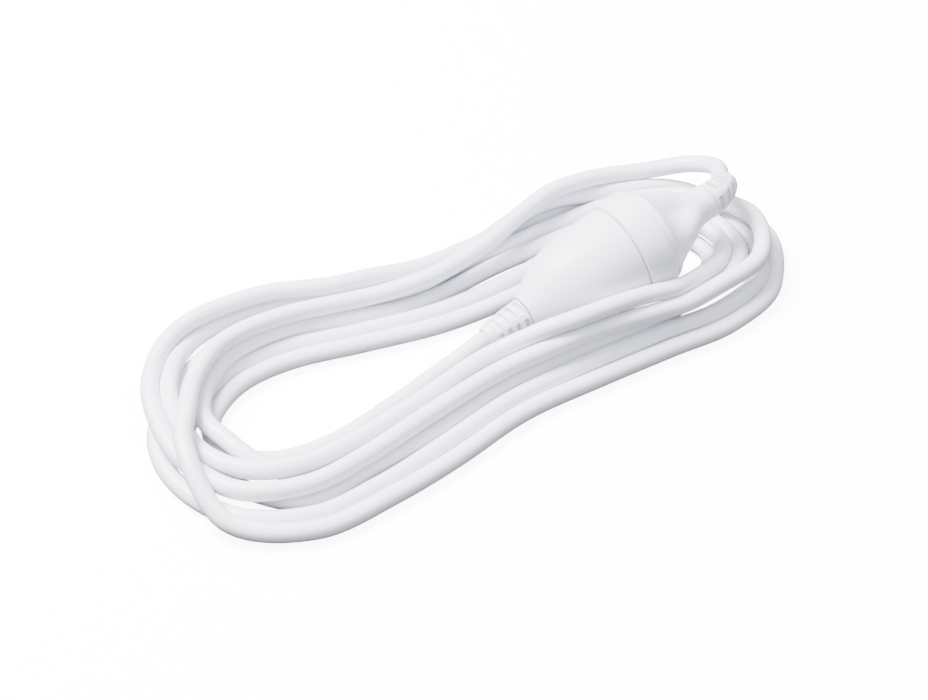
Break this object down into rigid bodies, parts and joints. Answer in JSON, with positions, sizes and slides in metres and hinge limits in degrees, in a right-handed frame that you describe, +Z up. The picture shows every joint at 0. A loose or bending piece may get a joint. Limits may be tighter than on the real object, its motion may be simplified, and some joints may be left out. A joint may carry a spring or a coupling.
{
  "type": "extension cord",
  "caption": "White three-core extension cord in a loose flat hank, its moulded three-flat-pin plug pushed into its own round in-line socket.",
  "frame": {"origin": "middle of the connector pair's footprint in x, on the surface the cord lies on; y = 0 is the vertical plane through the connector's axis", "axes": "+Z up; +X towards the plug end along the horizontal run of the connector's axis, which leans up by 12.7 degrees; +Y to the side the plug's cord turns to"},
  "size_m": [0.2885, 0.1335, 0.0494],
  "materials": {
    "white_pvc": "satin",
    "cord_sheath": "satin",
    "inner_moulding": "matte",
    "brass": "polished",
    "pin_sleeve": "matte",
    "core_brown": "satin",
    "core_blue": "satin",
    "core_green_yellow": "satin"
  },
  "bodies": {
    "root": {"socket_body": "white_pvc", "socket_front": "white_pvc", "contact_carrier": "inner_moulding", "contact_active": "brass", "contact_neutral": "brass", "contact_earth": "brass", "socket_core_active": "core_brown", "socket_core_neutral": "core_blue", "socket_core_earth": "core_green_yellow", "socket_strain_relief": "white_pvc", "cord_socket_lead": "cord_sheath", "cord_hank": "cord_sheath"},
    "plug": {"plug_body": "white_pvc", "pin_carrier": "inner_moulding", "pin_active": "brass", "pin_neutral": "brass", "pin_earth": "brass", "pin_sleeve_active": "pin_sleeve", "pin_sleeve_neutral": "pin_sleeve", "plug_core_active": "core_brown", "plug_core_neutral": "core_blue", "plug_core_earth": "core_green_yellow", "plug_strain_relief": "white_pvc", "cord_plug_tail": "cord_sheath"}
  },
  "joints": [
    {"name": "plug_withdrawal", "type": "slide", "parent": "root", "child": "plug", "axis": [0.9755, 0, 0.2198], "range_m": [0, 0.029], "deforming": ["cord_plug_tail"]}
  ]
}
